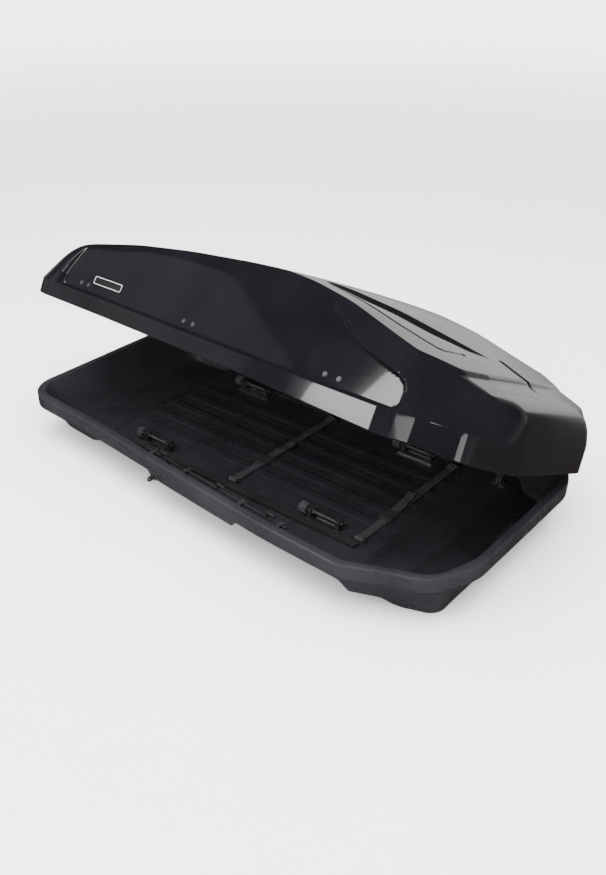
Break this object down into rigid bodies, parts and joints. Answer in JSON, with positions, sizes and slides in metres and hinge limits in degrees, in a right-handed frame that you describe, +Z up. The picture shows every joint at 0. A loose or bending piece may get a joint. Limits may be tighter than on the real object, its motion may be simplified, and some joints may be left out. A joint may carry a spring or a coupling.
{
  "type": "roof cargo box",
  "caption": "Hard-shell roof cargo box: a deep tray with a side-opening lid, key lock, sliding latch, telescopic lid stays, crossbar clamps and lashing straps.",
  "frame": {"origin": "centre of the flat underside that stands on the crossbars", "axes": "+X from nose to tail, -Y the opening side, +Y the hinge side, +Z up; the lid is 25 degrees open at rest"},
  "size_m": [1.5048, 0.887, 0.6611],
  "materials": {
    "lid_gloss": "high gloss black",
    "tray_satin": "satin black with a fine grain",
    "zinc_steel": "zinc plated",
    "black_steel": "black powder coat",
    "black_plastic": "moulded",
    "aluminium": "extruded",
    "webbing": "woven polyester",
    "rivet_black": "semi gloss black",
    "badge_face": "gloss with a pale edge line",
    "chrome": "polished",
    "knob_plastic": "moulded"
  },
  "bodies": {
    "base": {"base_tray": "tray_satin", "base_rails": "black_steel", "clamp_plates": "zinc_steel", "clamp_claws": "black_steel", "hinge_brackets": "black_steel", "hinge_pins": "zinc_steel", "tray_rivets": "zinc_steel", "lock_housing": "black_plastic", "latch_guides": "black_plastic", "stay_brackets_base": "zinc_steel", "floor_anchors": "black_steel", "strap_webbing": "webbing", "strap_buckles": "black_plastic"},
    "lid": {"lid_shell": "lid_gloss", "lid_rails": "aluminium", "hinge_leaves": "black_steel", "leaf_rivets": "zinc_steel", "lid_strikers": "zinc_steel", "stay_brackets_lid": "zinc_steel", "side_rivets": "rivet_black", "badge": "badge_face"},
    "lock_core": {"lock_cylinder": "chrome", "key": "chrome"},
    "latch_bar": {"latch_bar": "black_steel"},
    "stay_front_cylinder": {"stay_front_cylinder": "black_steel"},
    "stay_front_rod": {"stay_front_rod": "chrome"},
    "stay_rear_cylinder": {"stay_rear_cylinder": "black_steel"},
    "stay_rear_rod": {"stay_rear_rod": "chrome"},
    "clamp_knob_1": {"clamp_knob_1": "knob_plastic"},
    "clamp_jaw_1": {"clamp_jaw_1": "black_steel"},
    "clamp_knob_2": {"clamp_knob_2": "knob_plastic"},
    "clamp_jaw_2": {"clamp_jaw_2": "black_steel"},
    "clamp_knob_3": {"clamp_knob_3": "knob_plastic"},
    "clamp_jaw_3": {"clamp_jaw_3": "black_steel"},
    "clamp_knob_4": {"clamp_knob_4": "knob_plastic"},
    "clamp_jaw_4": {"clamp_jaw_4": "black_steel"}
  },
  "joints": [
    {"name": "lid_hinge", "type": "hinge", "parent": "base", "child": "lid", "pos_m": [0, 0.44, 0.052], "axis": [-1, 0, 0], "range_deg": [-25, 25]},
    {"name": "lock_turn", "type": "hinge", "parent": "base", "child": "lock_core", "pos_m": [-0.14427, -0.38168, 0.043], "axis": [0.09, 0.9959, 0], "range_deg": [0, 90]},
    {"name": "latch_slide", "type": "slide", "parent": "base", "child": "latch_bar", "axis": [0.9959, -0.09, 0], "range_m": [0, 0.02]},
    {"name": "stay_front_swing", "type": "hinge", "parent": "base", "child": "stay_front_cylinder", "pos_m": [-0.15, 0.27477, 0.01203], "axis": [-1, 0, 0], "range_deg": [-12.5, 12.5]},
    {"name": "stay_front_slide", "type": "slide", "parent": "stay_front_cylinder", "child": "stay_front_rod", "axis": [0, 0.4726, 0.8813], "range_m": [-0.055, 0.055]},
    {"name": "stay_rear_swing", "type": "hinge", "parent": "base", "child": "stay_rear_cylinder", "pos_m": [0.53, 0.27477, 0.01203], "axis": [-1, 0, 0], "range_deg": [-12.5, 12.5]},
    {"name": "stay_rear_slide", "type": "slide", "parent": "stay_rear_cylinder", "child": "stay_rear_rod", "axis": [0, 0.4726, 0.8813], "range_m": [-0.055, 0.055]},
    {"name": "clamp_1_turn", "type": "hinge", "parent": "base", "child": "clamp_knob_1", "pos_m": [-0.3, -0.215, 0.022], "axis": [1, 0, 0], "range_deg": [0, 720]},
    {"name": "clamp_1_grip", "type": "slide", "parent": "base", "child": "clamp_jaw_1", "axis": [-1, 0, 0], "range_m": [0, 0.014]},
    {"name": "clamp_2_turn", "type": "hinge", "parent": "base", "child": "clamp_knob_2", "pos_m": [-0.3, 0.215, 0.022], "axis": [1, 0, 0], "range_deg": [0, 720]},
    {"name": "clamp_2_grip", "type": "slide", "parent": "base", "child": "clamp_jaw_2", "axis": [-1, 0, 0], "range_m": [0, 0.014]},
    {"name": "clamp_3_turn", "type": "hinge", "parent": "base", "child": "clamp_knob_3", "pos_m": [0.3, -0.215, 0.022], "axis": [1, 0, 0], "range_deg": [0, 720]},
    {"name": "clamp_3_grip", "type": "slide", "parent": "base", "child": "clamp_jaw_3", "axis": [-1, 0, 0], "range_m": [0, 0.014]},
    {"name": "clamp_4_turn", "type": "hinge", "parent": "base", "child": "clamp_knob_4", "pos_m": [0.3, 0.215, 0.022], "axis": [1, 0, 0], "range_deg": [0, 720]},
    {"name": "clamp_4_grip", "type": "slide", "parent": "base", "child": "clamp_jaw_4", "axis": [-1, 0, 0], "range_m": [0, 0.014]}
  ],
  "couplings": [
    {"joint": "lock_turn", "follows": "latch_slide", "rad_per_m": 78.53},
    {"joint": "stay_front_swing", "follows": "lid_hinge", "ratio": 0.5},
    {"joint": "stay_front_slide", "follows": "lid_hinge", "m_per_rad": 0.1257},
    {"joint": "stay_rear_swing", "follows": "lid_hinge", "ratio": 0.5},
    {"joint": "stay_rear_slide", "follows": "lid_hinge", "m_per_rad": 0.1257},
    {"joint": "clamp_1_turn", "follows": "clamp_1_grip", "rad_per_m": 897.5},
    {"joint": "clamp_2_turn", "follows": "clamp_2_grip", "rad_per_m": 897.5},
    {"joint": "clamp_3_turn", "follows": "clamp_3_grip", "rad_per_m": 897.5},
    {"joint": "clamp_4_turn", "follows": "clamp_4_grip", "rad_per_m": 897.5}
  ]
}
